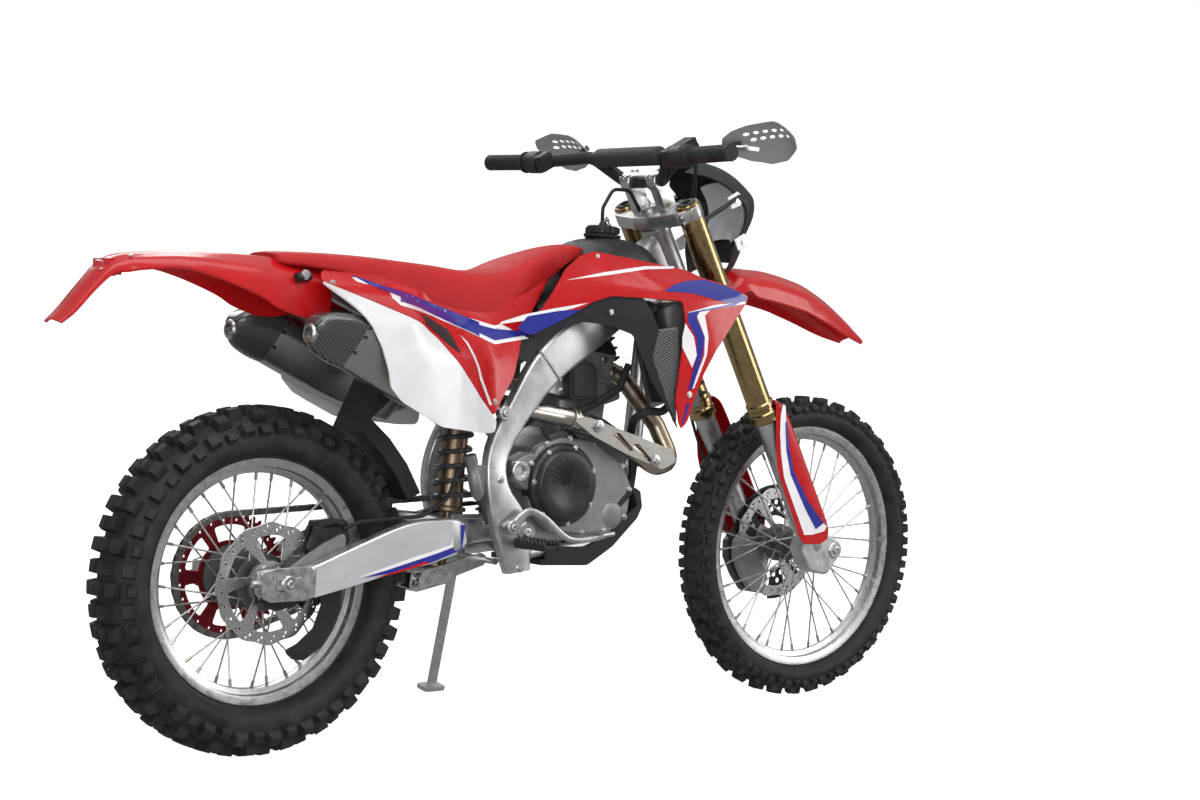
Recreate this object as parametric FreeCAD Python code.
import FreeCAD, Part
import math
import os

# Trail motorcycle parked on its side stand. Every piece is drawn on the upright machine, with X forward,
# Y to the rider's left, Z up and the origin on the ground under the rear axle. At the end each piece is
# leaned over onto the stand and moved so that the origin lies under the middle of the whole machine.

# Stance and steering geometry
WHEELBASE = 1477.0
LEAN_ANGLE = 10.0
RAKE = 28.5
AXLE_LEAD = 67.0
LEG_LEAD = 22.0
LEG_SPREAD = 206.0
PIVOT_X = 575.0
PIVOT_Z = 425.0

# Clearances
SEAT_GAP = 0.3
RUNNING_GAP = 0.3

# Wheels
REAR_LUG = 19.0
FRONT_LUG = 13.0
LUG_ROWS = 24
REAR_TYRE_WIDTH = 136.0
FRONT_TYRE_WIDTH = 90.0
REAR_FLANGE_RADIUS = 242.0
FRONT_FLANGE_RADIUS = 280.0
REAR_TYRE_HEIGHT = 101.0
FRONT_TYRE_HEIGHT = 70.0
REAR_RADIUS = REAR_FLANGE_RADIUS + REAR_TYRE_HEIGHT
FRONT_RADIUS = FRONT_FLANGE_RADIUS + FRONT_TYRE_HEIGHT
REAR_RIM_WIDTH = 60.0
FRONT_RIM_WIDTH = 46.0
RIM_WALL = 3.0
SPOKE_RADIUS = 2.0
CROWN_HALF = 8.0
ROD_SIDES = 14
TREAD_SHOULDER = 0.56
RIM_SIDES = 36
HUB_SIDES = 20
REAR_SPOKES = 32
FRONT_SPOKES = 36
AXLE_RADIUS = 12.5
HUB_BARREL_RADIUS = 27.0
REAR_HUB_FLANGE = 58.0
FRONT_HUB_FLANGE = 40.0
HUB_FLANGE_THICKNESS = 5.0
REAR_HUB_HALF = 50.0
FRONT_HUB_HALF = 58.0
REAR_DISC_RADIUS = 120.0
FRONT_DISC_RADIUS = 130.0
DISC_BAND = 24.0
GUARD_RADIUS = 137.0
DISC_THICKNESS = 4.0
REAR_DISC_Y = -62.0
FRONT_DISC_Y = 70.0

# Chain drive
CHAIN_PITCH = 15.875
REAR_TEETH = 48
FRONT_TEETH = 13
CHAIN_Y = 90.0
CHAIN_HEIGHT = 14.0
CHAIN_WIDTH = 14.0
SPROCKET_THICKNESS = 5.0
LINK_PLATE = 3.0
DRIVE_X = 640.0
DRIVE_Z = 455.0
# Rear arms, frame plates and engine, across the machine
ARM_Y = 114.0
ARM_WIDTH = 30.0
AXLE_HALF = 137.0
SPACER_RADIUS = 18.0
RAIL_Y = 58.0
RAIL_RADIUS = 9.0
PLATE_Y = 112.0
PLATE_WIDTH = 26.0
PIVOT_BOLT = 13.0
CASE_HALF = 84.0
CYLINDER_HALF = 70.0
PIPE_RADIUS = 20.0
LOOP_Y = 114.0
MUFFLER_Y = 146.0

# Fork, clamps and bars, in the steering frame: forward of the axis, left, and up along the axis
UPPER_TUBE_RADIUS = 28.0
LOWER_TUBE_RADIUS = 24.5
UPPER_TUBE_LOW = 365.0
UPPER_TUBE_TOP = 905.0
TOP_CLAMP_LOW = 868.0
CLAMP_THICKNESS = 30.0
LOW_CLAMP_LOW = 655.0
HEAD_TUBE_RADIUS = 30.0
STEM_RADIUS = 14.0
BAR_RADIUS = 14.3
GRIP_RADIUS = 17.0
BAR_HALF = 407.0
BAR_RISE = 1058.0
BAR_BACK = -67.0
CROSSBAR_RISE = 1029.0
BAR_PAD_RADIUS = 21.0
BAR_PAD_HALF = 104.0

# Side stand
STAND_PIVOT_X = 592.0
STAND_PIVOT_Y = 144.0
STAND_PIVOT_Z = 352.0
STAND_FOOT_X = 617.0
STAND_FOOT_Y = 262.0
STAND_AXIS = (0.149, 0.902, 0.405)
STAND_BOSS_HALF = 12.0

# Body
PANEL_WALL = 4.0
DUCT_WALL = 3.0
RADIATOR_Y = 180.0
SHOCK_TOP = (490.0, 738.0)
SHOCK_FOOT = (452.0, 335.0)


def vec(x, y, z):
    return FreeCAD.Vector(x, y, z)


def corner_arc(before, corner, after, radius):
    """The two tangent points and the middle of the arc that rounds one corner of a path."""
    back = (before - corner).normalize()
    ahead = (after - corner).normalize()
    half = back.getAngle(ahead) / 2
    reach = radius / math.tan(half)
    reach = min(reach, 0.49 * (before - corner).Length, 0.49 * (after - corner).Length)
    fitted = reach * math.tan(half)
    bisector = (back + ahead).normalize()
    middle = corner + bisector * (fitted / math.sin(half) - fitted)
    return corner + back * reach, middle, corner + ahead * reach


def softened(points, radius, closed=True):
    """The points of a path whose corners are cut by chords of a tangent arc. radius is one number, or one
    for each point."""
    count = len(points)
    radii = radius if isinstance(radius, (list, tuple)) else [radius] * count
    line = []
    for i, point in enumerate(points):
        inside = closed or 0 < i < count - 1
        if inside and radii[i] > 0:
            line += corner_arc(points[i - 1], point, points[(i + 1) % count], radii[i])
        else:
            line.append(point)
    return [p for i, p in enumerate(line) if p.distanceToPoint(line[i - 1]) > 1e-6]


def plate(outline, low, high, radius=0):
    """A flat plate with an outline of (x, z) points, between two values of y."""
    ring = softened([vec(x, low, z) for x, z in outline], radius)
    return Part.Face(Part.makePolygon(ring + ring[:1])).extrude(vec(0, high - low, 0))


def deck(outline, low, high, radius=0):
    """A flat plate with an outline of (x, y) points, between two values of z."""
    ring = softened([vec(x, y, low) for x, y in outline], radius)
    return Part.Face(Part.makePolygon(ring + ring[:1])).extrude(vec(0, 0, high - low))


def block(x0, x1, y0, y1, z0, z1):
    return Part.makeBox(x1 - x0, y1 - y0, z1 - z0, vec(x0, y0, z0))


def rod(start, end, radius, sides=ROD_SIDES):
    """A round bar with flats."""
    turn = FreeCAD.Rotation(vec(0, 0, 1), end - start)
    turns = [2 * math.pi * (k + 0.5) / sides for k in range(sides + 1)]
    ring = [start + turn.multVec(vec(radius * math.cos(a), radius * math.sin(a), 0)) for a in turns]
    return Part.Face(Part.makePolygon(ring)).extrude(end - start)


def cross_rod(x, z, y0, y1, radius, sides=ROD_SIDES):
    """A round bar across the machine."""
    return rod(vec(x, y0, z), vec(x, y1, z), radius, sides)


def bore(start, end, radius):
    """What a drill takes out: a true cylinder."""
    return Part.makeCylinder(radius, start.distanceToPoint(end), start, end - start)


def cross_bore(x, z, y0, y1, radius):
    return bore(vec(x, y0, z), vec(x, y1, z), radius)


def flat_faces(a, b, c, d):
    """One four-sided face where its corners are in a plane, and otherwise two triangles."""
    normal = (b - a).cross(c - a)
    if normal.Length < 1e-9:
        return [Part.Face(Part.makePolygon([a, c, d, a]))]
    if abs(normal.normalize().dot(d - a)) < 1e-6:
        return [Part.Face(Part.makePolygon([a, b, c, d, a]))]
    return [Part.Face(Part.makePolygon([a, b, c, a])), Part.Face(Part.makePolygon([a, c, d, a]))]


def sewn(faces):
    """The solid that a closed set of faces bounds."""
    skin = Part.makeCompound(faces)
    skin.sewShape()
    solid = Part.makeSolid(skin.Shells[0])
    if solid.Volume < 0:
        solid.reverse()
    return solid


def skinned(rings, closed=False):
    """A loft with flat facets through rings of points, capped at both ends or closed on itself."""
    faces = []
    count = len(rings[0])
    pairs = list(zip(rings, rings[1:]))
    if closed:
        pairs.append((rings[-1], rings[0]))
    for near, far in pairs:
        for i in range(count):
            j = (i + 1) % count
            faces += flat_faces(near[i], near[j], far[j], far[i])
    if not closed:
        faces += [Part.Face(Part.makePolygon(ring + ring[:1])) for ring in (rings[0], rings[-1])]
    return sewn(faces)


def tube(points, radius, bend, sides=8):
    """A bar or pipe of many flats along straight runs joined by bends."""
    line = softened(points, bend, closed=False)
    rings = []
    side = None
    for i, point in enumerate(line):
        into = (point - line[i - 1]).normalize() if i else (line[1] - point).normalize()
        out = (line[i + 1] - point).normalize() if i < len(line) - 1 else into
        along = (into + out).normalize()
        if side is None:
            side = along.cross(vec(0, 1, 0) if abs(along.y) < 0.7 else vec(0, 0, 1)).normalize()
        side = (side - along * side.dot(along)).normalize()
        other = along.cross(side)
        turns = [2 * math.pi * (k + 0.5) / sides for k in range(sides)]
        rings.append([point + side * (radius * math.cos(a)) + other * (radius * math.sin(a)) for a in turns])
    return skinned(rings)


def lathe(profile, sides=48):
    """A ring or drum turned about the Y axis, with flats, from (y, radius) points."""
    rings = []
    for k in range(sides):
        turn = 2 * math.pi * k / sides
        rings.append([vec(r * math.cos(turn), y, r * math.sin(turn)) for y, r in profile])
    return skinned(rings, closed=True)


def box_section(centre, along, width, height, chamfer=6.0):
    """A chamfered rectangle square to a direction in the XZ plane: width across Y, height in the plane."""
    forward = vec(along[0], 0, along[1]).normalize()
    side = vec(0, 1, 0)
    up = forward.cross(side)
    middle = vec(*centre)
    half_w, half_h = width / 2, height / 2
    cut = min(chamfer, 0.4 * half_w, 0.4 * half_h)
    points = []
    for a, b in ((-1, -1), (1, -1), (1, 1), (-1, 1)):
        near_side = side * (a * half_w) + up * (b * (half_h - cut))
        near_end = side * (a * (half_w - cut)) + up * (b * half_h)
        pair = [near_side, near_end] if a * b > 0 else [near_end, near_side]
        points += [middle + p for p in pair]
    return points


def mirrored(shape):
    return shape.mirror(vec(0, 0, 0), vec(0, 1, 0))


def both_sides(shape):
    return Part.makeCompound([shape, mirrored(shape)])


def fused(shapes):
    first, rest = shapes[0], shapes[1:]
    return first.multiFuse(rest).removeSplitter() if rest else first


def steering_placement():
    """From the steering frame to the upright machine. The axis passes AXLE_LEAD behind the front axle."""
    rake = math.radians(RAKE)
    foot = vec(WHEELBASE - AXLE_LEAD * math.cos(rake), 0, FRONT_RADIUS - AXLE_LEAD * math.sin(rake))
    return FreeCAD.Placement(foot, FreeCAD.Rotation(vec(0, 1, 0), -RAKE))


def steered(shape):
    """Moves a shape drawn in the steering frame onto the machine."""
    moved = shape.copy()
    moved.Placement = steering_placement().multiply(moved.Placement)
    return moved


# Wheels


def tyre_skin(stations, lugs, steps):
    """The flat faces of a tyre. Each station is (y, radius, lug y, lug radius); lugs(row, cell) says where
    the tread is raised."""
    cells = len(stations)

    def point(station, step, raised):
        y, r, lug_y, lug_r = stations[station % cells]
        turn = steps[step % len(steps)]
        if raised:
            y, r = lug_y, lug_r
        return vec(r * math.cos(turn), y, r * math.sin(turn))

    faces = []
    for step in range(len(steps)):
        for cell in range(cells):
            up = lugs(step, cell)
            a, b = (cell, step), (cell + 1, step)
            c, d = (cell + 1, step + 1), (cell, step + 1)
            faces.append([point(*a, up), point(*b, up), point(*c, up), point(*d, up)])
            if up != lugs(step, cell + 1):
                faces.append([point(*b, False), point(*b, True), point(*c, True), point(*c, False)])
            if up != lugs(step + 1, cell):
                faces.append([point(*d, False), point(*d, True), point(*c, True), point(*c, False)])
    return [Part.Face(Part.makePolygon(f + f[:1])) for f in faces]


def tread_step(width):
    """Where the outer edge of the centre lugs is: its distance from the middle, and its drop."""
    return (TREAD_SHOULDER - 0.1) * width / 2, 0.03 * width


def knobby_tyre(radius, width, lug, bead_half, flange_radius, centre_gap):
    """A tyre with paired centre lugs and, between them, shoulder lugs with one centre lug."""
    half = width / 2
    crown = radius - lug
    bead = flange_radius - 11
    edge = half - 0.08 * width
    inner = TREAD_SHOULDER * half
    drop = 0.10 * width
    step_y, step_drop = tread_step(width)
    right = [
        (-bead_half, bead),
        (-bead_half, flange_radius + 2),
        (-half + 4, flange_radius + 0.14 * width + 4),
        (-half, flange_radius + 0.30 * width),
    ]
    tread = [
        (-edge, crown - 1.6 * drop, -edge - 0.5 * lug, crown - 1.6 * drop + 0.86 * lug),
        (-inner, crown - 0.55 * drop, -inner - 0.25 * lug, crown - 0.55 * drop + 0.97 * lug),
        (-step_y, crown - 0.35 * drop, -step_y, radius - step_drop),
        (-centre_gap / 2, crown, -centre_gap / 2, radius),
    ]
    half_ring = [(y, r, y, r) for y, r in right] + tread
    ring = half_ring + [(-y, r, -ly, lr) for y, r, ly, lr in reversed(half_ring)]
    shoulder_cells = (4, len(ring) - 6)
    centre_cells = (6, 8)
    middle_cell = 7

    def lugs(step, cell):
        row, gap = divmod(step % (2 * LUG_ROWS), 2)
        if gap:
            return False
        cell = cell % len(ring)
        if row % 2:
            return cell in shoulder_cells or cell == middle_cell
        return cell in centre_cells

    pitch = 2 * math.pi / LUG_ROWS
    steps = [row * pitch + part * pitch for row in range(LUG_ROWS) for part in (0.0, 0.52)]
    return sewn(tyre_skin(ring, lugs, steps))


def wire_rim(flange_radius, width):
    """A rolled rim: two flanges, bead seats and a well between them."""
    half, w = width / 2, RIM_WALL
    seat, well = flange_radius - 13, flange_radius - 26
    outer = [(half, flange_radius), (half - w, flange_radius), (half - w, seat), (half - 16, well)]
    inner = [(half - 18, well - w), (half, seat - w)]
    left = [(-y, r) for y, r in reversed(outer)]
    left_low = [(-y, r) for y, r in reversed(inner)]
    return lathe(outer + left + left_low + inner, RIM_SIDES)


def spokes(count, flange_radius, flange_half, rim_radius, spread, cross):
    """Straight pulls laced from alternate hub flanges to the rim."""
    made = []
    for k in range(count):
        side = 1 if k % 2 else -1
        lead = 1 if (k // 2) % 2 else -1
        turn = 2 * math.pi * k / count
        hub_turn = turn - lead * cross
        inside = 4.5 * lead
        start = vec(flange_radius * math.cos(hub_turn), side * flange_half + inside, flange_radius * math.sin(hub_turn))
        end = vec(rim_radius * math.cos(turn), side * spread, rim_radius * math.sin(turn))
        along = end - start
        ring = Part.makePolygon(square(start, along, SPOKE_RADIUS))
        made.append(Part.Face(ring).extrude(along))
    return Part.makeCompound(made)


def square(centre, along, radius):
    """A closed square, square to a direction."""
    turn = FreeCAD.Rotation(vec(0, 0, 1), along)
    corners = [2 * math.pi * k / 4 for k in range(5)]
    return [centre + turn.multVec(vec(radius * math.cos(a), radius * math.sin(a), 0)) for a in corners]


def turned_hub(profile):
    """A turned hub with an axle bore, from the (y, radius) points of its outside."""
    bore = (AXLE_RADIUS + RUNNING_GAP) / math.cos(math.pi / HUB_SIDES)
    return lathe([(profile[0][0], bore)] + profile + [(profile[-1][0], bore)], HUB_SIDES)


def brake_disc(radius, y, carrier):
    """A brake ring with a wavy edge, on arms from a collar that is bolted to the hub."""
    waves, depth, steps = 8, 5.0, 48
    turns = [2 * math.pi * k / steps for k in range(steps)]
    edge = [radius - depth * (1 - math.cos(waves * a)) / 2 for a in turns]
    outer = [(r * math.cos(a), r * math.sin(a)) for r, a in zip(edge, turns)]
    inner = [((r - DISC_BAND) * math.cos(a), (r - DISC_BAND) * math.sin(a)) for r, a in zip(edge, turns)]
    low, high = y - DISC_THICKNESS / 2, y + DISC_THICKNESS / 2
    ring = plate(outer, low, high).cut(plate(inner, low - 1, high + 1))
    arm = block(carrier - 8, radius - DISC_BAND - 2, low, high, -7, 7)
    arms = []
    for k in range(6):
        turned = arm.copy()
        turned.rotate(vec(0, 0, 0), vec(0, 1, 0), 60 * k)
        arms.append(turned)
    collar = cross_rod(0, 0, low, high, carrier, 24).cut(cross_bore(0, 0, low - 1, high + 1, SPACER_RADIUS + 4))
    return fused([ring, collar] + arms)


def sprocket(teeth, y, thickness, window_low=0.0, window_high=0.0, hole=0.0):
    """A toothed wheel in the chain's plane, with windows between its spokes."""
    pitch_radius = CHAIN_PITCH / (2 * math.sin(math.pi / teeth))
    points = []
    for k in range(teeth):
        for part, height in ((-0.34, -5.5), (-0.12, 4.0), (0.12, 4.0), (0.34, -5.5)):
            turn = 2 * math.pi * (k + 0.5 + part) / teeth
            r = pitch_radius + height
            points.append((r * math.cos(turn), r * math.sin(turn)))
    wheel = plate(points, y - thickness / 2, y + thickness / 2)
    if window_high:
        for k in range(6):
            start, end = math.radians(60 * k + 10), math.radians(60 * k + 50)
            middle = (start + end) / 2
            window = [(window_low, start), (window_high, start), (window_high + 6, middle), (window_high, end),
                      (window_low, end)]
            outline = [(r * math.cos(a), r * math.sin(a)) for r, a in window]
            wheel = wheel.cut(plate(outline, y - thickness, y + thickness, [8, 10, 30, 10, 8]))
    if hole:
        wheel = wheel.cut(cross_bore(0, 0, y - thickness, y + thickness, hole))
    return wheel


def chain_loop():
    """One closed loop of links round both sprockets, open on the inside for their teeth."""
    rear = CHAIN_PITCH / (2 * math.sin(math.pi / REAR_TEETH))
    front = CHAIN_PITCH / (2 * math.sin(math.pi / FRONT_TEETH))
    gap = math.hypot(DRIVE_X, DRIVE_Z - REAR_RADIUS)
    tilt = math.atan2(DRIVE_Z - REAR_RADIUS, DRIVE_X)
    slant = math.asin((rear - front) / gap)
    run = gap * math.cos(slant)
    wrap_rear, wrap_front = rear * (math.pi + 2 * slant), front * (math.pi - 2 * slant)
    length = 2 * run + wrap_rear + wrap_front
    links = 2 * round(length / CHAIN_PITCH / 2)

    def at(share):
        """The point on the pitch line, and its outward direction."""
        s = share * length
        if s < wrap_rear:
            turn = tilt + math.pi / 2 - slant + s / rear
            return 0.0, REAR_RADIUS, rear, turn
        s -= wrap_rear
        if s < run:
            turn = tilt - math.pi / 2 + slant
            return None, s, None, turn
        s -= run
        if s < wrap_front:
            turn = tilt - math.pi / 2 + slant + s / front
            return DRIVE_X, DRIVE_Z, front, turn
        return None, s - wrap_front, "top", tilt + math.pi / 2 - slant

    def pin(k, offset):
        cx, cz, r, turn = at((k % links) / links)
        out = vec(math.cos(turn), 0, math.sin(turn))
        if cx is None:
            top = r == "top"
            start = vec(DRIVE_X, 0, DRIVE_Z) + out * front if top else vec(0, 0, REAR_RADIUS) + out * rear
            along = vec(-out.z, 0, out.x)
            return start + along * cz + out * offset
        return vec(cx, 0, cz) + out * (r + offset)

    half, wide = CHAIN_HEIGHT / 2, CHAIN_WIDTH / 2
    thin, band = wide - LINK_PLATE, half - 2.0
    channel = [(-wide, half), (wide, half), (wide, -half), (thin, -half), (thin, band), (-thin, band),
               (-thin, -half), (-wide, -half)]
    rings = [[pin(k, height) + vec(0, CHAIN_Y + y, 0) for y, height in channel] for k in range(links)]
    return skinned(rings, closed=True)


def placed(shape, x, z):
    shape.translate(vec(x, 0, z))
    return shape


def rear_wheel():
    z = REAR_RADIUS
    flange_half, flange, t = 32.0, REAR_HUB_FLANGE, HUB_FLANGE_THICKNESS
    rim_well = REAR_FLANGE_RADIUS - 29
    disc_face = REAR_DISC_Y + DISC_THICKNESS / 2
    sprocket_face = CHAIN_Y - SPROCKET_THICKNESS / 2
    hub = [(disc_face, 46), (disc_face + 6, 46), (disc_face + 10, 32), (-flange_half - t, 32),
           (-flange_half - t, flange), (-flange_half, flange), (-flange_half + t, HUB_BARREL_RADIUS),
           (flange_half - t, HUB_BARREL_RADIUS), (flange_half, flange), (flange_half + t, flange),
           (flange_half + t, 38), (sprocket_face - 14, 40), (sprocket_face - 7, 62), (sprocket_face, 62)]
    bead = REAR_RIM_WIDTH / 2 - RIM_WALL - SEAT_GAP
    nodes = {
        "rear_tyre": knobby_tyre(REAR_RADIUS, REAR_TYRE_WIDTH, REAR_LUG, bead, REAR_FLANGE_RADIUS, 16.0),
        "rear_rim": wire_rim(REAR_FLANGE_RADIUS, REAR_RIM_WIDTH),
        "rear_spokes": spokes(REAR_SPOKES, REAR_HUB_FLANGE - 5, flange_half, rim_well, 5.0, 0.62),
        "rear_hub": turned_hub(hub),
        "rear_disc": brake_disc(REAR_DISC_RADIUS, REAR_DISC_Y, 40.0),
        "rear_sprocket": sprocket(REAR_TEETH, CHAIN_Y, SPROCKET_THICKNESS, 68.0, 102.0, 30.0),
    }
    return {name: placed(shape, 0, z) for name, shape in nodes.items()}


def front_wheel():
    x, z = WHEELBASE, FRONT_RADIUS
    flange_half, flange, t = 30.0, FRONT_HUB_FLANGE, HUB_FLANGE_THICKNESS
    rim_well = FRONT_FLANGE_RADIUS - 29
    disc_face = FRONT_DISC_Y - DISC_THICKNESS / 2
    hub = [(-FRONT_HUB_HALF, 22), (-flange_half - t, 25), (-flange_half - t, flange), (-flange_half, flange),
           (-flange_half + t, HUB_BARREL_RADIUS), (flange_half - t, HUB_BARREL_RADIUS), (flange_half, flange),
           (flange_half + t, flange), (flange_half + t, 30), (disc_face - 8, 32), (disc_face - 4, 44),
           (disc_face, 44)]
    bead = FRONT_RIM_WIDTH / 2 - RIM_WALL - SEAT_GAP
    nodes = {
        "front_tyre": knobby_tyre(FRONT_RADIUS, FRONT_TYRE_WIDTH, FRONT_LUG, bead, FRONT_FLANGE_RADIUS, 12.0),
        "front_rim": wire_rim(FRONT_FLANGE_RADIUS, FRONT_RIM_WIDTH),
        "front_spokes": spokes(FRONT_SPOKES, FRONT_HUB_FLANGE - 5, flange_half, rim_well, 4.0, 0.7),
        "front_hub": turned_hub(hub),
        "front_disc": brake_disc(FRONT_DISC_RADIUS, FRONT_DISC_Y, 38.0),
    }
    return {name: placed(shape, x, z) for name, shape in nodes.items()}


# Steering: fork, clamps, bars and what they carry, drawn in the steering frame


def leg_plate(low, thickness):
    """One fork clamp: a waisted bar between two rings, bored for the legs."""
    half = LEG_SPREAD / 2
    ring = UPPER_TUBE_RADIUS + 11
    outline = [(-34, -26), (LEG_LEAD - ring, -half), (LEG_LEAD, -half - ring), (LEG_LEAD + ring, -half)]
    outline += [(30, -30), (30, 30)]
    outline += [(LEG_LEAD + ring, half), (LEG_LEAD, half + ring), (LEG_LEAD - ring, half), (-34, 26)]
    body = deck(outline, low, low + thickness, [20, 24, 30, 24, 20, 20, 24, 30, 24, 20])
    for side in (-1, 1):
        leg = vec(LEG_LEAD, side * half, low - 1)
        body = body.cut(bore(leg, leg + vec(0, 0, thickness + 2), UPPER_TUBE_RADIUS))
    return body


def fork_clamps():
    top = leg_plate(TOP_CLAMP_LOW, CLAMP_THICKNESS)
    low = leg_plate(LOW_CLAMP_LOW, CLAMP_THICKNESS + 6)
    stem = rod(vec(0, 0, LOW_CLAMP_LOW), vec(0, 0, TOP_CLAMP_LOW + CLAMP_THICKNESS + 12), STEM_RADIUS)
    return {"fork_clamps": fused([top, low, stem])}


def fork_legs():
    """Upper tubes with ringed collars, and lower tubes that end in the axle lugs."""
    uppers, lowers = [], []
    collar, low, top = UPPER_TUBE_RADIUS + 4, UPPER_TUBE_LOW, UPPER_TUBE_TOP
    profile = [(0, low), (collar - 2, low), (collar, low + 6), (collar, low + 22), (collar - 3, low + 24),
               (collar - 3, low + 34), (collar, low + 36), (collar, low + 46), (UPPER_TUBE_RADIUS, low + 50),
               (UPPER_TUBE_RADIUS, top), (UPPER_TUBE_RADIUS - 4, top + 6), (0, top + 6)]
    lug_outline = [(-26, 53), (-23, -2), (20, -40), (AXLE_LEAD + 10, -20), (AXLE_LEAD + 25, 6), (52, 62), (-2, 80)]
    for side in (-1, 1):
        y = side * LEG_SPREAD / 2
        uppers.append(spindle(profile, LEG_LEAD, y))
        tube_low = rod(vec(LEG_LEAD, y, 20), vec(LEG_LEAD, y, low), LOWER_TUBE_RADIUS)
        lug = plate(lug_outline, y - 21, y + 21, [10, 14, 20, 18, 20, 14, 14])
        lowers.append(fused([tube_low, lug]))
    inner = LEG_SPREAD / 2 - 21
    axle = cross_rod(AXLE_LEAD, 0, -inner, inner, AXLE_RADIUS)
    spacer = cross_rod(AXLE_LEAD, 0, -inner, -FRONT_HUB_HALF - RUNNING_GAP, SPACER_RADIUS)
    disc_face = FRONT_DISC_Y - DISC_THICKNESS / 2
    far_spacer = cross_rod(AXLE_LEAD, 0, disc_face + RUNNING_GAP, inner, SPACER_RADIUS)
    return {"fork_uppers": Part.makeCompound(uppers), "fork_lowers": fused(lowers + [axle, spacer, far_spacer])}


def spindle(profile, x, y, sides=20):
    """A drum with flats along the steering axis, from (radius, height) points that start and end on it."""
    turns = [2 * math.pi * (k + 0.5) / sides for k in range(sides)]
    rings = []
    for r, height in profile[1:-1]:
        rings.append([vec(x + r * math.cos(a), y + r * math.sin(a), height) for a in turns])
    return skinned(rings)


def guard_section(height, y, front, back, reach):
    """A channel section round the front and outside of a fork leg."""
    points = [vec(back, y + reach, height), vec(front, y + reach, height), vec(front, y - 20, height)]
    points += [vec(front - PANEL_WALL, y - 20, height), vec(front - PANEL_WALL, y + reach - PANEL_WALL, height),
               vec(back, y + reach - PANEL_WALL, height)]
    return points


def fork_guards():
    """Red covers ahead of and outside the lower tubes."""
    y = LEG_SPREAD / 2
    out = LOWER_TUBE_RADIUS + 12
    levels = [(46, 66, 12), (80, 72, -22), (250, 73, -16), (345, 72, 20), (398, 60, 42)]
    guard = skinned([guard_section(h, y, front, back, out) for h, front, back in levels])
    return {"fork_guards": both_sides(guard)}


def handlebar():
    """The bent bar, its padded crossbar and the clamps on the top fork clamp."""
    clamp_top = TOP_CLAMP_LOW + CLAMP_THICKNESS
    foot = clamp_top + 64
    half = [vec(BAR_BACK, BAR_HALF, BAR_RISE), vec(BAR_BACK + 5, 240, BAR_RISE - 6),
            vec(2, 128, CROSSBAR_RISE + 2), vec(16, 62, foot)]
    points = half + [vec(p.x, -p.y, p.z) for p in reversed(half)]
    bar = tube(points, BAR_RADIUS, 40, 10)
    brace = cross_rod(0, CROSSBAR_RISE, -134, 134, 6.5)
    pad = cross_rod(0, CROSSBAR_RISE, -BAR_PAD_HALF, BAR_PAD_HALF, BAR_PAD_RADIUS, 16)
    risers = []
    for side in (-1, 1):
        post = deck([(0, side * 30), (36, side * 30), (36, side * 58), (0, side * 58)], clamp_top, foot + 20, 6)
        risers.append(post)
    return {"handlebar": fused([bar, brace, pad] + risers)}


def grips():
    made = []
    for side in (-1, 1):
        start = vec(BAR_BACK, side * (BAR_HALF + 2), BAR_RISE)
        end = vec(BAR_BACK + 3, side * 280, BAR_RISE - 6)
        bar = bore(vec(BAR_BACK, side * BAR_HALF, BAR_RISE), end + (end - start), BAR_RADIUS)
        flange = rod(end, end + (start - end).normalize() * 6, GRIP_RADIUS + 7)
        made.append(fused([rod(start, end, GRIP_RADIUS), flange]).cut(bar))
    return {"grips": Part.makeCompound(made)}


def bar_controls():
    """Lever perches, throttle housing and the two levers."""
    made = []
    for side in (-1, 1):
        housing = rod(vec(BAR_BACK + 4, side * 268, BAR_RISE - 7), vec(BAR_BACK + 5, side * 228, BAR_RISE - 9), 24)
        perch = tube([vec(BAR_BACK + 4, side * 240, BAR_RISE - 8), vec(BAR_BACK + 46, side * 236, BAR_RISE - 14),
                      vec(BAR_BACK + 62, side * 300, BAR_RISE - 14), vec(BAR_BACK + 50, side * 395, BAR_RISE - 8)],
                     6, 16)
        core = bore(vec(BAR_BACK + 4, side * 300, BAR_RISE - 7), vec(BAR_BACK + 5, side * 200, BAR_RISE - 9),
                    BAR_RADIUS)
        made.append(fused([housing, perch]).cut(core))
    return {"bar_controls": Part.makeCompound(made)}


def hand_guards():
    """Curved shields ahead of the grips, each on a rod from the bar."""
    made = []
    rows = [(236, 70, 990, 1030), (300, 98, 966, 1048), (370, 106, 962, 1052), (426, 84, 986, 1040)]
    for side in (-1, 1):
        sections = []
        for y, x, low, high in rows:
            outer = [vec(x, side * y, low), vec(x + 10, side * y, (low + high) / 2), vec(x, side * y, high)]
            sections.append(outer + [p - vec(PANEL_WALL, 0, 0) for p in reversed(outer)])
        stay = tube([vec(-30, side * 190, BAR_RISE - 16), vec(20, side * 214, 1020), vec(80, side * 262, 1012)], 6, 20)
        made.append(fused([skinned(sections), stay]))
    return {"hand_guards": Part.makeCompound(made)}


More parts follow.
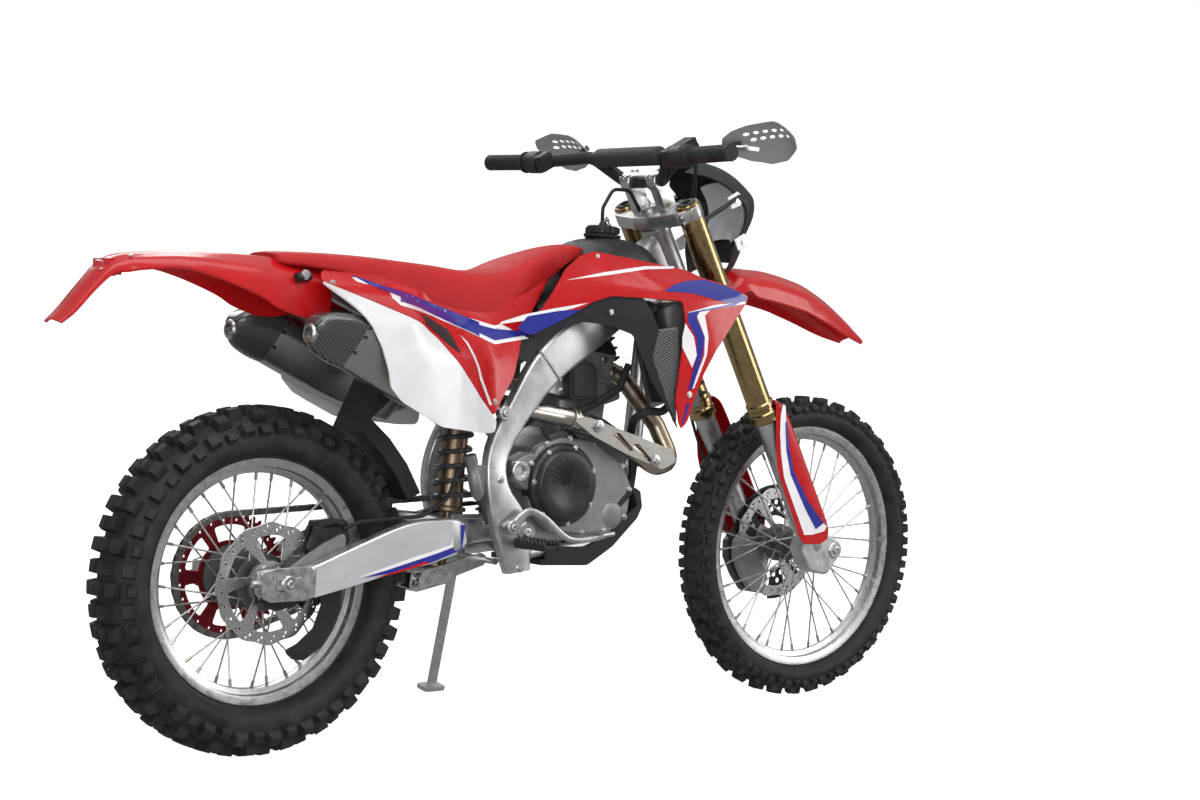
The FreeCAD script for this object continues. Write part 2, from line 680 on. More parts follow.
def headlight_mask():
    """The shield ahead of the fork, with the lamp set in it."""
    levels = [(698, 152, 66), (746, 186, 84), (783, 226, 96), (819, 240, 104), (879, 218, 98), (920, 190, 70),
              (944, 166, 40)]
    sections = []
    for height, front, half in levels:
        rear = front - 62
        points = [vec(rear, -half, height), vec(front - 8, -0.55 * half, height), vec(front, 0, height),
                  vec(front - 8, 0.55 * half, height), vec(rear, half, height)]
        inside = [vec(p.x - PANEL_WALL * 1.2, p.y * 0.94, p.z) for p in reversed(points)]
        sections.append(points + inside)
    lamp_low, lamp_top = 752, 858
    opening = plate([(130, lamp_low), (300, lamp_low), (300, lamp_top), (130, lamp_top)], -60, 60)
    lamp = deck([(150, -59), (222, -59), (236, 0), (222, 59), (150, 59)], lamp_low + 1, lamp_top - 1, [8, 20, 60, 20, 8])
    shell = skinned(sections).cut(opening)
    leg_y = LEG_SPREAD / 2
    stays = [rod(vec(LEG_LEAD, side * leg_y, 850), vec(176, side * 94, 850), 5) for side in (-1, 1)]
    shell = fused([shell] + stays)
    for side in (-1, 1):
        leg = vec(LEG_LEAD, side * leg_y, 800)
        shell = shell.cut(bore(leg, leg + vec(0, 0, 100), UPPER_TUBE_RADIUS + SEAT_GAP))
    return {"headlight_mask": shell, "headlight": lamp}


def bent_sheet(rows):
    """A long sheet whose sides fall away from its crown. Each row is (x, z, half width, skirt)."""
    crown = [vec(x, 0, z) for x, z, half, skirt in rows]
    sections = []
    for i, (x, z, half, skirt) in enumerate(rows):
        ahead, behind = crown[min(i + 1, len(rows) - 1)], crown[max(i - 1, 0)]
        down = (ahead - behind).cross(vec(0, 1, 0)).normalize()
        down = down if down.z < 0 else down * -1
        edge = [(-half, skirt), (-0.8 * half, 0.22 * skirt), (-0.4 * half, 0), (0.4 * half, 0),
                (0.8 * half, 0.22 * skirt), (half, skirt)]
        outer = [crown[i] + vec(0, y, 0) + down * drop for y, drop in edge]
        inner = [crown[i] + vec(0, 0.94 * y, 0) + down * (drop + PANEL_WALL) for y, drop in reversed(edge)]
        sections.append(outer + inner)
    return skinned(sections)


def front_fender():
    """The long curved mudguard under the lower clamp."""
    rows = [(-6, 654.6, 52, 10), (64, 654.6, 62, 26), (129, 686, 70, 50), (232, 628, 72, 62), (306, 564, 70, 62),
            (373, 478, 62, 56), (413, 409, 54, 44), (444, 348, 40, 20)]
    return {"front_fender": bent_sheet(rows)}


def front_brake():
    """The caliper on its bracket behind the left leg, and the slotted disc cover."""
    y = FRONT_DISC_Y
    caliper = plate([(-82, 0), (-78, 48), (-60, 80), (-32, 90), (-8, 20), (-6, -50), (-40, -76), (-72, -48)],
                    y - 20, y + 24, 10)
    slot = cross_bore(AXLE_LEAD, 0, y - DISC_THICKNESS, y + DISC_THICKNESS, FRONT_DISC_RADIUS + 4)
    bracket = plate([(-40, 60), (6, 66), (10, -20), (-30, -30)], y + 8, y + 12, 8)
    return {"front_brake": fused([caliper.cut(slot), bracket, disc_guard(y + 8, y + 11)])}


def disc_guard(low, high):
    """A cover outside the front disc, open at the caliper, with a mesh of holes."""
    turns = [math.radians(a) for a in range(-125, 146, 15)]
    outer = [(AXLE_LEAD + GUARD_RADIUS * math.cos(a), GUARD_RADIUS * math.sin(a)) for a in turns]
    inner = [(AXLE_LEAD + 62 * math.cos(a), 62 * math.sin(a)) for a in reversed(turns)]
    guard = plate(outer + inner, low, high)
    holes = []
    for radius, count in ((84, 16), (104, 20)):
        for k in range(count):
            turn = math.radians(-118 + 256 * k / (count - 1))
            centre = AXLE_LEAD + radius * math.cos(turn), radius * math.sin(turn)
            ring = [(centre[0] + 9 * math.cos(a), centre[1] + 9 * math.sin(a)) for a in
                    [math.radians(60 * j) + turn for j in range(6)]]
            holes.append(plate(ring, low - 1, high + 1))
    return guard.cut(Part.makeCompound(holes))


# Frame, engine and exhaust


def by_head(forward, y, up):
    """A point of the upright machine, from its place in the steering frame."""
    point = steering_placement().multVec(vec(forward, y, up))
    return point.x, point.y, point.z


def frame_spar():
    """One side spar, from the steering head down to the pivot plate."""
    sections = [
        box_section(by_head(-94, -36, 784), (0.86, 0.51), 30, 118),
        box_section(by_head(-209, -62, 785), (0.87, 0.49), 30, 98),
        box_section(by_head(-349, -86, 779), (0.86, 0.51), 30, 90),
        box_section((640, -93, 768), (0.80, 0.60), 30, 84),
        box_section((570, -94, 682), (0.55, 0.83), 30, 62),
        box_section((512, -99, 592), (0.40, 0.91), 28, 54),
        box_section((504, -PLATE_Y, 520), (-0.12, 0.99), PLATE_WIDTH, 56),
        box_section((540, -PLATE_Y, 440), (-0.35, 0.93), PLATE_WIDTH, 88),
        box_section((562, -PLATE_Y, 342), (-0.10, 0.99), PLATE_WIDTH, 64),
    ]
    return skinned(sections)


def main_frame():
    head_low, head_high = LOW_CLAMP_LOW + 45, TOP_CLAMP_LOW - 6
    outer = rod(vec(0, 0, head_low), vec(0, 0, head_high), HEAD_TUBE_RADIUS)
    inner = bore(vec(0, 0, head_low - 1), vec(0, 0, head_high + 1), STEM_RADIUS + RUNNING_GAP)
    spar = frame_spar()
    neck = [box_section(by_head(-130, 0, 784), (0.86, 0.51), 60, 90, 10),
            box_section(by_head(-26, 0, 786), (0.86, 0.51), 44, 130, 10)]
    cross = cross_rod(PIVOT_X + 25, PIVOT_Z + 302, -86, 86, 14)
    hanger_x, hanger_z = SHOCK_TOP
    hanger = plate([(hanger_x - 20, hanger_z - 16), (hanger_x - 6, hanger_z + 18), (PIVOT_X + 30, PIVOT_Z + 314),
                    (PIVOT_X + 30, PIVOT_Z + 290)], 29, 36, 8)
    pin = cross_rod(hanger_x, hanger_z, -36, 36, 6)
    engine_plate = plate([(626, 760), (700, 770), (696, 730), (706, 714), (690, 706), (660, 712), (640, 730)],
                         CYLINDER_HALF + SEAT_GAP, 82, [6, 6, 14, 8, 8, 14, 10])
    rail_boss = cross_rod(519, 672, 97, 118, 13)
    pairs = [hanger, engine_plate, rail_boss]
    solid = fused([spar, mirrored(spar), steered(outer), skinned(neck), cross, pin, stand_lug()] + pairs
                  + [mirrored(piece) for piece in pairs])
    return {"main_frame": solid.cut(steered(inner))}


def stand_lug():
    """The lug on the left plate that the side stand turns on."""
    pivot = vec(STAND_PIVOT_X, STAND_PIVOT_Y, STAND_PIVOT_Z)
    along = vec(*STAND_AXIS).normalize()
    near = pivot - along * (STAND_BOSS_HALF + RUNNING_GAP)
    return rod(near - along * 22, near, 14)


def frame_cradle():
    """The down tube, which leaves the head above the lower clamp's sweep, and the rails under the engine."""
    down = tube([vec(*by_head(-46, 0, 745)), vec(*by_head(-115, 0, 688)), vec(956, 0, 560), vec(930, 0, 510)], 22, 60, 12)
    rails = []
    for side in (-1, 1):
        rails.append(tube([vec(926, side * 10, 524), vec(862, side * 50, 444), vec(784, side * 66, 386),
                           vec(620, side * 72, 376), vec(576, side * 92, 370)], 12, 40, 10))
    return {"frame_cradle": fused([down] + rails)}


def subframe():
    rails = []
    for side in (-1, 1):
        upper = tube([vec(630, side * 72, 780), vec(420, side * 60, 862), vec(60, side * 56, 924)], RAIL_RADIUS, 80)
        lower = tube([vec(512, side * 88, 622), vec(440, side * 62, 700), vec(300, side * RAIL_Y, 822),
                      vec(90, side * 56, 919)], RAIL_RADIUS, 60)
        rails += [upper, lower]
    bridge = cross_rod(100, 916, -56, 56, RAIL_RADIUS)
    return {"subframe": fused(rails + [bridge])}


def engine():
    """The crankcase with its side covers, and the cylinder with its head."""
    case = plate([(612, 560), (640, 610), (690, 637), (840, 615), (885, 530), (868, 440), (800, 398), (650, 398),
                  (612, 420)], -CASE_HALF, CASE_HALF, [20, 30, 10, 30, 40, 40, 30, 30, 20])
    pocket_floor = CHAIN_Y - CHAIN_WIDTH / 2 - 6
    case = case.cut(block(600, 690, pocket_floor, CASE_HALF + 1, DRIVE_Z - 56, DRIVE_Z + 50))
    generator = cross_rod(772, 490, CASE_HALF, CASE_HALF + 28, 70, 32)
    pump = cross_rod(822, 452, -CASE_HALF - 26, -CASE_HALF, 30)
    filler = cross_rod(814, 558, -CASE_HALF - 14, -CASE_HALF, 17)
    barrel = skinned([box_section((757, 0, 600), (0.14, 0.99), 2 * CYLINDER_HALF, 140, 20),
                      box_section((776, 0, 740), (0.14, 0.99), 2 * CYLINDER_HALF, 140, 20)])
    coil_box = plate([(716, 700), (716, 760), (726, 772), (760, 776), (770, 768), (774, 700)], -100, 40 - CYLINDER_HALF,
                     [4, 4, 6, 10, 10, 4])
    head = skinned([box_section((776, 0, 740), (0.14, 0.99), 120, 160, 16),
                    box_section((790, 0, 842), (0.14, 0.99), 112, 150, 16)])
    cover = cross_rod(680, 520, -CASE_HALF - 38, -CASE_HALF, 88, 40)
    cover = cover.fuse(cross_rod(680, 520, -CASE_HALF - 46, -CASE_HALF, 72, 40))
    shaft = cross_rod(DRIVE_X, DRIVE_Z, pocket_floor, CHAIN_Y + 4, 12)
    drive = sprocket(FRONT_TEETH, CHAIN_Y, SPROCKET_THICKNESS)
    drive.translate(vec(DRIVE_X, 0, DRIVE_Z))
    return {"crankcase": fused([case, generator, pump, filler]), "cylinder": fused([barrel, head, coil_box]),
            "clutch_cover": cover, "drive_sprocket": fused([drive, shaft])}


def exhaust():
    """The header that loops down, round and back, with a branch to each muffler."""
    header = tube([vec(840, 0, 775), vec(904, -24, 742), vec(974, -62, 640), vec(1000, -88, 562),
                   vec(930, -LOOP_Y, 552), vec(770, -LOOP_Y, 642), vec(690, -112, 660), vec(612, -54, 676),
                   vec(530, -54, 694), vec(448, -122, 688), vec(402, -127, 676)], PIPE_RADIUS, 36, 10)
    branch = tube([vec(600, -50, 678), vec(560, -20, 688), vec(560, 22, 692), vec(512, 62, 694),
                   vec(448, 122, 688), vec(402, 127, 676)], PIPE_RADIUS, 30, 10)
    nodes = {"exhaust_pipe": fused([header, branch] + heat_shield())}
    for name, side in (("muffler_right", -1), ("muffler_left", 1)):
        nodes[name] = muffler(side)
    return nodes


def heat_shield():
    """The cover on the outside of the header's loop, with two slots on the slant, and its two posts."""
    face = -LOOP_Y - PIPE_RADIUS - 2
    sheet = plate([(678, 658), (717, 666), (820, 636), (956, 593), (974, 568), (930, 548), (820, 586), (735, 626)],
                  face - 3, face, [12, 30, 60, 20, 16, 20, 60, 30])
    for x, z in ((818, 611), (872, 587)):
        sheet = sheet.cut(plate([(x - 30, z + 16), (x - 12, z + 18), (x + 30, z - 20), (x + 18, z - 20)],
                                face - 4, face + 1, [3, 8, 3, 3]))
    posts = [cross_rod(x, z, face - 1, -LOOP_Y, 7) for x, z in ((752, 648), (905, 567))]
    return [sheet] + posts


def muffler_section(x, y, z, size, slope):
    """A rounded triangle square to the muffler's own axis: broad above and narrow below."""
    up = vec(math.sin(slope), 0, math.cos(slope))
    outline = [(-0.18, -0.55), (0.18, -0.55), (0.46, 0.12), (0.48, 0.38), (0.34, 0.52), (-0.34, 0.52),
               (-0.48, 0.38), (-0.46, 0.12)]
    return [vec(x, y + a * size, z) + up * (b * size) for a, b in outline]


def muffler(side):
    """The can and its end cap, which narrows to a bored outlet."""
    rows = [(22, 0, 826, 50, 0.05), (70, 0, 826, 90, 0.25), (120, 0, 812, 100, 0.46), (262, -4, 744, 98, 0.46),
            (396, -18, 680, 72, 0.46), (408, -19, 674, 50, 0.46)]
    can = skinned([muffler_section(x, side * (MUFFLER_Y + toe), z, size, slope) for x, toe, z, size, slope in rows])
    outlet = bore(vec(10, side * (MUFFLER_Y + 2), 828), vec(74, side * MUFFLER_Y, 820), 16)
    return can.cut(outlet)


# Bodywork


def soft_section(x, z_top, half, depth, crown):
    """A section across the machine with a domed top."""
    right = [(-half, depth), (-half, crown), (-0.82 * half, 0.3 * crown), (-0.45 * half, 0)]
    outline = right + [(-y, drop) for y, drop in reversed(right)]
    return [vec(x, y, z_top - drop) for y, drop in outline]


def seat_section(x, z_top, half, depth, crown):
    """A section of the seat: domed on top, with sides that come down over a hollow base."""
    base = min(depth, 44)
    right = [(0.72 * half, base), (0.78 * half, depth), (half, depth), (half, crown), (0.84 * half, 0.34 * crown),
             (0.45 * half, 0)]
    outline = right + [(-y, drop) for y, drop in reversed(right)]
    return [vec(x, y, z_top - drop) for y, drop in outline]


def seat():
    rows = [(16, 984, 62, 24, 9), (211, 982, 90, 54, 17), (378, 972, 94, 96, 24), (530, 967, 92, 94, 26),
            (636, 1003, 72, 76, 24), (745, 1025, 46, 36, 14), (790, 1017, 28, 20, 8)]
    return {"seat": skinned([seat_section(*row) for row in rows])}


def fuel_tank():
    rows = [(640, 905, 60, 50, 16), (720, 960, 96, 90, 24), (800, 1034, 104, 150, 30), (900, 1036, 100, 116, 34),
            (955, 1010, 72, 84, 30)]
    body = skinned([soft_section(*row) for row in rows])
    cap = rod(vec(858, 0, 1030), vec(862, 0, 1056), 38)
    return {"fuel_tank": fused([body, cap])}


# The curved walls that the right side's panels are cut from: at each x, (y, z) points from top to bottom
SIDE_WALL = (
    (0, ((-88, 985), (-93, 948), (-160, 908), (-200, 860), (-200, 620))),
    (220, ((-86, 985), (-93, 928), (-156, 894), (-200, 846), (-200, 620))),
    (340, ((-84, 985), (-93, 893), (-128, 862), (-188, 770), (-190, 620))),
    (400, ((-84, 985), (-93, 878), (-116, 848), (-168, 755), (-174, 620))),
    (490, ((-84, 985), (-93, 872), (-110, 820), (-130, 740), (-136, 620))),
    (660, ((-84, 985), (-93, 930), (-108, 860), (-120, 760), (-120, 620))),
)
SHROUD_WALL = (
    (550, ((-106, 1030), (-112, 960), (-117, 895), (-121, 820), (-121, 600))),
    (660, ((-110, 1030), (-122, 970), (-134, 905), (-136, 860), (-136, 600))),
    (760, ((-112, 1030), (-136, 985), (-156, 930), (-160, 870), (-160, 600))),
    (900, ((-122, 1030), (-160, 980), (-200, 930), (-214, 860), (-212, 600))),
    (1000, ((-140, 1030), (-178, 970), (-214, 910), (-222, 820), (-212, 600))),
    (1120, ((-160, 1030), (-178, 960), (-198, 930), (-204, 860), (-204, 600))),
)


def wall_solid(rows, thickness):
    """A wall over a grid of points, with its back a fixed step behind its front."""
    faces = []
    for near, far in zip(rows, rows[1:]):
        for a, b, c, d in zip(near, near[1:], far[1:], far):
            for corners in ((a, b, c), (a, c, d)):
                faces.append(list(corners))
                faces.append([p + thickness for p in corners])
    left, right = [row[0] for row in rows], [row[-1] for row in rows]
    for rim in (rows[0], rows[-1], left, right):
        for a, b in zip(rim, rim[1:]):
            faces.append([a, b, b + thickness, a + thickness])
    return sewn([Part.Face(Part.makePolygon(f + f[:1])) for f in faces])


def moulded(outline, radius, stations):
    """A thin panel on the right side: what lies inside an outline of (x, z) points of a curved wall."""
    rows = [[vec(x, y, z) for y, z in line] for x, line in stations]
    return wall_solid(rows, vec(0, PANEL_WALL, 0)).common(plate(outline, -300, -40, radius))


def shroud():
    """One radiator shroud, from the side cover forward to its tip beside the fork."""
    outline = [(566, 834), (614, 872), (661, 894), (763, 921), (811, 914), (912, 908), (908, 860), (897, 758),
               (908, 655), (926, 640), (962, 709), (984, 752), (1029, 831), (1094, 902), (1110, 930), (1060, 960),
               (972, 985), (874, 1000), (745, 1010), (690, 1000), (654, 966), (604, 892)]
    corners = [6, 30, 60, 40, 40, 14, 40, 60, 20, 8, 60, 60, 60, 30, 6, 60, 60, 60, 60, 40, 30, 30]
    return moulded(outline, corners, SHROUD_WALL)


def bodywork():
    """Side covers, rear panels, shrouds, tail and air box. The cover and the panel share one border."""
    border = [(474, 668), (454, 684), (359, 797), (271, 868), (170, 905), (60, 931)]
    cover = moulded(border + [(84, 950), (213, 946), (318, 916), (401, 892), (497, 890), (585, 920), (645, 955),
                              (598, 886), (561, 829), (530, 747)],
                    [4, 0, 0, 0, 0, 4, 10, 40, 40, 40, 40, 40, 8, 40, 40, 60], SIDE_WALL)
    panel = moulded(border[::-1] + [(482, 664), (478, 634), (437, 634), (305, 650), (205, 700), (178, 728),
                                    (174, 760), (155, 813), (123, 860), (76, 900)],
                    [0, 0, 0, 0, 0, 0, 4, 10, 30, 40, 30, 12, 30, 60, 60, 60], SIDE_WALL)
    right = shroud()
    nodes = {"shroud_right": right, "shroud_left": mirrored(right)}
    for name, flip in (("right", False), ("left", True)):
        nodes["side_cover_" + name] = mirrored(cover) if flip else cover
        nodes["rear_panel_" + name] = mirrored(panel) if flip else panel
    nodes["rear_fender"] = rear_fender()
    nodes["tail_lamp"] = block(-344, -312, -26, 26, 928, 958)
    box = skinned([soft_section(180, 874, 40, 90, 16), soft_section(330, 868, 44, 135, 16),
                   soft_section(436, 860, 44, 110, 16)])
    lug_reach = RAIL_Y - RAIL_RADIUS - 0.3
    nodes["airbox"] = box.fuse(cross_rod(300, 822, -lug_reach, lug_reach, 12))
    nodes["inner_mudguard"] = inner_mudguard()
    return nodes


def inner_mudguard():
    """A channel that follows the rear tyre and ends on the air box."""
    gap = REAR_RADIUS + 14
    turns = [math.radians(a) for a in (25, 35, 45, 54)]
    near = [(gap * math.cos(a), REAR_RADIUS + gap * math.sin(a)) for a in turns]
    far = [((gap + 34) * math.cos(a), REAR_RADIUS + (gap + 34) * math.sin(a)) for a in turns]
    shell = plate(near + [(264, 740), (330, 740)] + far[::-1], -56, 56)
    hollow = plate([(x + 9, z + 5) for x, z in near] + [(300, 745), (420, 700), (440, 480)], -52, 52)
    return shell.cut(hollow)


def rear_fender():
    """The narrow tail, with its plate hanger curving down at the end and two holes for the plate."""
    rows = [(120, 962, 82, 90), (62, 967, 88, 104), (-48, 976, 86, 70), (-134, 977, 80, 42), (-208, 976, 74, 26),
            (-279, 971, 62, 30), (-318, 964, 50, 32), (-345, 945, 42, 18), (-416, 866, 36, 10), (-440, 842, 34, 8)]
    tail = bent_sheet(rows)
    for side in (-1, 1):
        tail = tail.cut(bore(vec(-420, side * 20, 890), vec(-360, side * 20, 836), 3.5))
    return tail


def radiators():
    """A core with its side tank each side of the down tube, with the duct behind it and the hose to the pump."""
    core = plate([(878, 886), (918, 904), (976, 700), (942, 690)], 74, RADIATOR_Y, 6)
    tank = plate([(872, 894), (922, 914), (986, 690), (938, 676)], RADIATOR_Y, RADIATOR_Y + 14, 10)
    post = cross_rod(906, 890, RADIATOR_Y + 10, 224, 7)
    foot = cross_rod(950, 712, RADIATOR_Y + 10, 224, 7)
    slats = []
    for k in range(7):
        x, z = 934 + 10 * k, 880 - 28 * k
        slats.append(plate([(x, z), (x + 14, z + 9), (x + 15, z + 7), (x + 1, z - 2)], 78, RADIATOR_Y + 6))
    frame = plate([(926, 890), (944, 897), (1009, 712), (991, 706)], RADIATOR_Y + 2, RADIATOR_Y + 6)
    frame = fused([frame, frame.translated(vec(0, 78 - RADIATOR_Y - 4, 0))] + slats)
    piece = fused([core, tank, post, foot, frame, mirrored(radiator_duct())])
    hose = tube([vec(952, -140, 700), vec(925, -140, 672), vec(880, -138, 676), vec(866, -112, 656),
                 vec(890, -76, 620), vec(893, -84, 545), vec(872, -100, 500), vec(838, -98, 471)], 9, 24)
    return {"radiators": Part.makeCompound([piece, fused([mirrored(piece), hose])])}


def radiator_duct():
    """The wall that runs from the shroud's rear edge in behind the radiator."""
    levels = [(905, (916, -200), (872, -198), (806, -152)), (860, (912, -209), (862, -206), (818, -156)),
              (758, (901, -208), (868, -206), (842, -168)), (655, (912, -207.5), (900, -206), (890, -192))]
    rings = []
    for z, *line in levels:
        rings.append([vec(x, y, z) for x, y in line] + [vec(x, y + DUCT_WALL, z) for x, y in reversed(line)])
    return skinned(rings)


def skid_plate():
    outline = [(645, 350), (772, 344), (840, 381), (908, 440), (921, 465), (915, 498), (902, 506), (893, 502),
               (905, 470), (896, 447), (832, 392), (768, 357), (645, 362)]
    return {"skid_plate": plate(outline, -88, 88, [2, 30, 40, 30, 10, 8, 3, 3, 10, 26, 30, 26, 2])}


# Rear suspension, brake and foot controls


def swingarm():
    """Two arms that close in behind the engine, their bridge, the axle with its spacers and the pivot bolt."""
    arms = []
    for side in (-1, 1):
        y = ARM_Y * side
        arms.append(skinned([box_section((-50, y, REAR_RADIUS + 7), (1, 0.02), ARM_WIDTH, 52, 8),
                             box_section((54, y, REAR_RADIUS + 5), (1, 0.1), ARM_WIDTH, 64, 8),
                             box_section((256, y, 405), (1, 0.22), ARM_WIDTH, 88, 8),
                             box_section((312, y, 416), (1, 0.15), ARM_WIDTH, 90, 8),
                             box_section((420, y - 10 * side, 426), (1, 0.05), ARM_WIDTH, 66, 8),
                             box_section((492, side * 52, 427), (1, 0), 26, 48, 8),
                             box_section((600, side * 50, 425), (1, 0), 26, 46, 8)]))
    bridge = block(360, 500, -80, 80, 404, 446).cut(block(380, 478, -44, 44, 300, 500))
    axle = cross_rod(0, REAR_RADIUS, -AXLE_HALF, AXLE_HALF, AXLE_RADIUS)
    inner = ARM_Y - ARM_WIDTH / 2
    disc_side = cross_rod(0, REAR_RADIUS, -inner, REAR_DISC_Y + DISC_THICKNESS / 2 - RUNNING_GAP, SPACER_RADIUS)
    chain_side = cross_rod(0, REAR_RADIUS, CHAIN_Y - SPROCKET_THICKNESS / 2 + RUNNING_GAP, inner, SPACER_RADIUS)
    blocks = cross_rod(0, REAR_RADIUS, -ARM_Y - ARM_WIDTH / 2 - 6, ARM_Y + ARM_WIDTH / 2 + 6, 21)
    blocks = blocks.cut(cross_bore(0, REAR_RADIUS, -ARM_Y, ARM_Y, 30))
    pivot = cross_rod(PIVOT_X, PIVOT_Z, -PLATE_Y - PLATE_WIDTH / 2, PLATE_Y + PLATE_WIDTH / 2, PIVOT_BOLT)
    return {"swingarm": fused(arms + [bridge, axle, disc_side, chain_side, blocks, pivot])}


def coil_spring(foot, top, radius, wire, turns, steps=9, sides=5):
    """A round wire wound between two points."""
    length = top.distanceToPoint(foot)
    rings = []
    for k in range(turns * steps + 1):
        turn = 2 * math.pi * k / steps
        height = length * k / (turns * steps)
        ring = []
        for j in range(sides):
            a = 2 * math.pi * j / sides
            reach = radius + wire * math.cos(a)
            ring.append(vec(reach * math.cos(turn), reach * math.sin(turn), height + wire * math.sin(a)))
        rings.append(ring)
    coil = skinned(rings)
    coil.Placement = FreeCAD.Placement(foot, FreeCAD.Rotation(vec(0, 0, 1), top - foot))
    return coil


def shock():
    """The damper, with its spring between two collars, from the frame's hanger to the rocker."""
    top = vec(SHOCK_TOP[0], 0, SHOCK_TOP[1])
    foot = vec(SHOCK_FOOT[0], 0, SHOCK_FOOT[1])
    along = (top - foot).normalize()
    body = rod(foot + along * 200, top, 27)
    shaft = rod(foot, foot + along * 200, 8)
    low_collar = rod(foot + along * 130, foot + along * 138, 38)
    high_collar = rod(foot + along * 336, foot + along * 344, 40)
    spring = coil_spring(foot + along * 143.5, foot + along * 330.5, 34, 5.5, 6)
    return {"shock": fused([body, shaft, low_collar, high_collar]), "shock_spring": spring}


def linkage():
    """The rocker under the shock, and the two pull rods forward to the frame rails."""
    parts = []
    for side in (-1, 1):
        y = 40 * side
        parts.append(plate([(358, 316), (384, 312), (530, 352), (536, 370), (524, 378), (372, 344)], y - 5, y + 5, 6))
    rocker = plate([(350, 310), (372, 302), (460, 318), (474, 330), (462, 345), (356, 345)], -30, 30, 8)
    pin = cross_rod(371, 329, -48, 48, 8)
    front_pin = cross_rod(526, 364, -88, 88, 7)
    return {"linkage": fused(parts + [rocker, pin, front_pin])}


def rear_brake():
    """The caliper on its bracket inside the right arm, and the fin that guards the disc."""
    y = REAR_DISC_Y
    caliper = plate([(70, 400), (90, 455), (160, 460), (170, 420), (120, 380)], y - 25, y + 18, 10)
    ring = cross_bore(0, REAR_RADIUS, y - DISC_THICKNESS, y + DISC_THICKNESS, REAR_DISC_RADIUS + 5)
    bracket = plate([(20, 372), (20, 330), (110, 376), (150, 400), (150, 440), (100, 420)], -98, -88, 6)
    fin = plate([(-30, 300), (30, 296), (110, 330), (90, 250), (20, 215), (60, 190), (130, 240), (150, 330),
                 (120, 372), (20, 372)], -88, -84, 10)
    master = rod(vec(436, -112, 583), vec(460, -114, 494), 13)
    foot = plate([(446, 560), (490, 560), (494, 516), (458, 508)], -112, -104, 6)
    push_rod = rod(vec(460, -114, 500), vec(476, -122, 446), 4.5)
    hose = tube([vec(440, -112, 574), vec(410, -110, 560), vec(390, -102, 500), vec(330, -101.5, 462),
                 vec(180, -101, 452), vec(150, -90, 440)], 4, 20, 6)
    return {"rear_brake": Part.makeCompound([fused([caliper.cut(ring), bracket, fin, hose, master, foot, push_rod])])}


def toothed_peg():
    """A footpeg: two rails with saw teeth, closed at the tip, on a bracket at the frame."""
    start, end, low, high, pitch = 134.0, 236.0, 398.0, 410.0, 12.0
    profile = [vec(536, start, low), vec(536, start, high)]
    teeth = int((end - start) / pitch)
    for k in range(teeth):
        profile.append(vec(536, start + (k + 0.5) * pitch, high + 6))
        profile.append(vec(536, start + (k + 1) * pitch, high))
    profile.append(vec(536, start + teeth * pitch, low))
    rail = Part.Face(Part.makePolygon(profile + profile[:1])).extrude(vec(7, 0, 0))
    far = rail.translated(vec(36, 0, 0))
    tip = block(536, 579, end - 8, end, low, high)
    root = block(536, 579, PLATE_Y + PLATE_WIDTH / 2, start + 4, low, high)
    return fused([rail, far, tip, root, block(553, 562, start, end - 4, low, high)])


def foot_controls():
    peg = toothed_peg()
    pedal = tube([vec(523, -142, 440), vec(600, -146, 458), vec(700, -150, 400), vec(770, -156, 410)], 8, 30)
    pivot = cross_rod(523, 440, -150, -PLATE_Y - PLATE_WIDTH / 2, 9)
    shifter = tube([vec(712, CASE_HALF, 432), vec(712, 118, 432), vec(770, 134, 430), vec(790, 150, 434)], 7, 12)
    return {"footpegs": Part.makeCompound([peg, mirrored(peg)]), "brake_pedal": fused([pedal, pivot]),
            "shift_lever": shifter}


# Side stand


def parking():
    """From the upright machine to the leaned one, whose tyres roll over to their shoulders and so rise."""
    lean = math.radians(LEAN_ANGLE)
    edges = ((CROWN_HALF, 0.0), tread_step(REAR_TYRE_WIDTH), tread_step(FRONT_TYRE_WIDTH))
    lowest = min(z * math.cos(lean) - y * math.sin(lean) for y, z in edges)
    return FreeCAD.Placement(vec(0, 0, -lowest), FreeCAD.Rotation(vec(1, 0, 0), -LEAN_ANGLE))


def side_stand():
    """A bar from its pivot to a flat foot on the floor."""
    upright = parking().inverse()
    leaned_foot = parking().multVec(vec(STAND_FOOT_X, STAND_FOOT_Y, 0))
    foot = upright.multVec(vec(STAND_FOOT_X, leaned_foot.y, 8))
    pivot = vec(STAND_PIVOT_X, STAND_PIVOT_Y, STAND_PIVOT_Z)
    bar = tube([pivot, vec(pivot.x + 6, pivot.y + 26, pivot.z - 80), foot], 11, 60)
    along = vec(*STAND_AXIS).normalize() * STAND_BOSS_HALF
    boss = rod(pivot - along, pivot + along, 16)
    x, y = STAND_FOOT_X, leaned_foot.y
    pad = deck([(x - 28, y - 20), (x + 26, y - 20), (x + 26, y + 20), (x - 28, y + 20)], 0, 9, 8)
    pad.Placement = upright
    below = block(x - 400, x + 400, y - 400, y + 400, -200, 0)
    below.Placement = upright
    return {"side_stand": fused([bar, boss, pad]).cut(below)}


def upright_machine():
    nodes = {}
    for made in (rear_wheel(), front_wheel(), main_frame(), frame_cradle(), subframe(), engine(), exhaust(), seat(),
                 fuel_tank(), bodywork(), radiators(), skid_plate(), swingarm(), shock(), linkage(), rear_brake(),
                 foot_controls(), side_stand(), {"chain": chain_loop()}):
        nodes.update(made)
    for made in (fork_clamps(), fork_legs(), fork_guards(), handlebar(), grips(), bar_controls(), hand_guards(),
                 headlight_mask(), front_fender(), front_brake()):
        nodes.update({name: steered(shape) for name, shape in made.items()})
    return nodes


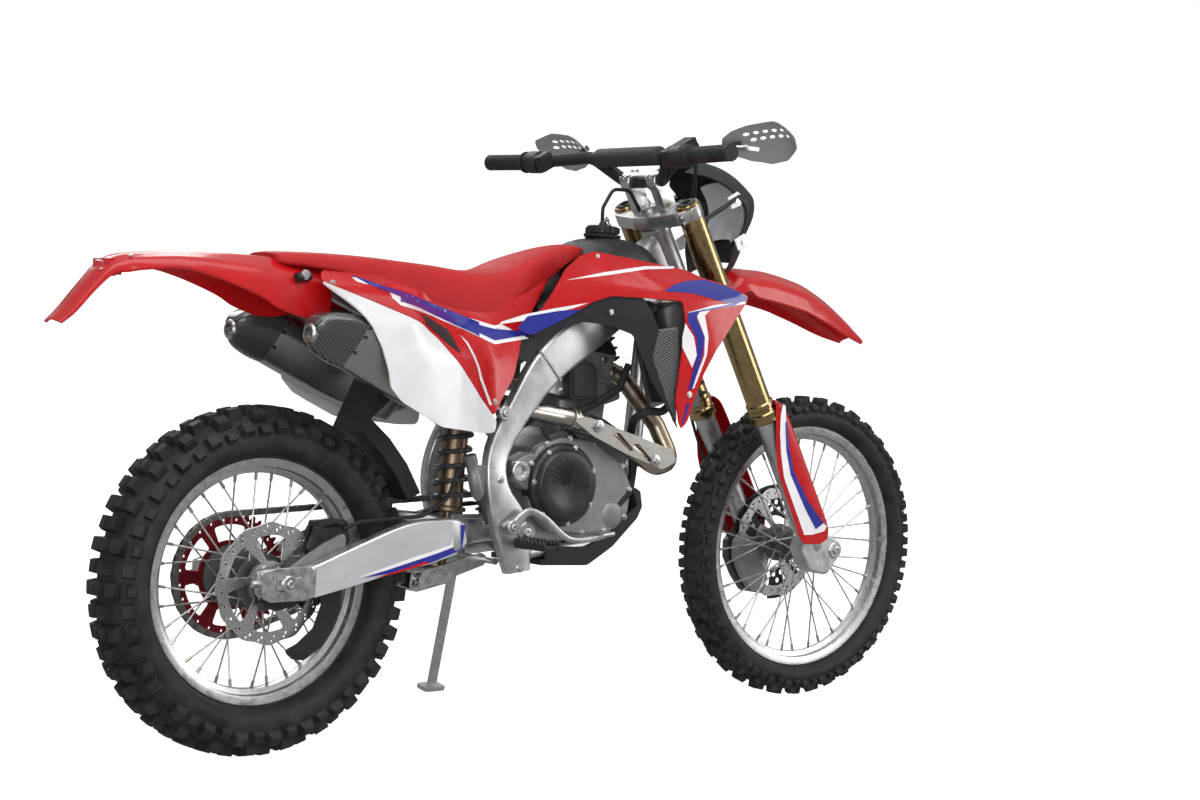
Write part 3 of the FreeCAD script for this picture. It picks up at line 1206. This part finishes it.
# The first node of each pair is cut away where it would run into the second
CUT_BACK = (
    ("cylinder", "crankcase"),
    ("fuel_tank", "main_frame"),
    ("seat", "fuel_tank"),
    ("rear_fender", "seat"),
    ("side_cover_right", "seat"),
    ("side_cover_left", "seat"),
    ("exhaust_pipe", "cylinder"),
    ("exhaust_pipe", "muffler_right"),
    ("exhaust_pipe", "muffler_left"),
    ("frame_cradle", "main_frame"),
    ("subframe", "main_frame"),
    ("subframe", "airbox"),
    ("inner_mudguard", "airbox"),
    ("bar_controls", "handlebar"),
    ("hand_guards", "handlebar"),
    ("grips", "handlebar"),
    ("fork_guards", "fork_lowers"),
    ("front_brake", "fork_lowers"),
    ("front_fender", "fork_clamps"),
    ("radiators", "main_frame"),
    ("radiators", "crankcase"),
    ("rear_brake", "main_frame"),
    ("radiators", "frame_cradle"),
    ("radiators", "shroud_right"),
    ("radiators", "shroud_left"),
    ("main_frame", "swingarm"),
    ("rear_brake", "swingarm"),
    ("shock", "linkage"),
    ("shock", "main_frame"),
    ("tail_lamp", "rear_fender"),
    ("linkage", "frame_cradle"),
    ("linkage", "main_frame"),
    ("frame_cradle", "crankcase"),
    ("skid_plate", "frame_cradle"),
    ("footpegs", "main_frame"),
    ("brake_pedal", "main_frame"),
)


def make_room(nodes):
    for trimmed, kept in CUT_BACK:
        rest = nodes[trimmed].cut(nodes[kept])
        whole = [solid for solid in rest.Solids if solid.Volume > 300]
        nodes[trimmed] = whole[0] if len(whole) == 1 else Part.makeCompound(whole)
    return nodes


def parked(nodes):
    """Leans the machine onto its stand and brings the middle of its footprint to the origin."""
    lean = parking()
    for shape in nodes.values():
        shape.Placement = lean.multiply(shape.Placement)
    box = Part.makeCompound(list(nodes.values())).BoundBox
    shift = vec(-(box.XMin + box.XMax) / 2, -(box.YMin + box.YMax) / 2, 0)
    for shape in nodes.values():
        shape.translate(shift)
    print("leaned by", LEAN_ANGLE, "raised by", round(lean.Base.z, 3), "moved by", round(shift.x, 3), round(shift.y, 3))
    print("size", round(box.XLength, 1), round(box.YLength, 1), round(box.ZLength, 1), "low", round(box.ZMin, 2))
    return nodes


def main():
    os.makedirs("parts", exist_ok=True)
    for name, shape in parked(make_room(upright_machine())).items():
        shape.exportStep("parts/" + name + ".step")


main()
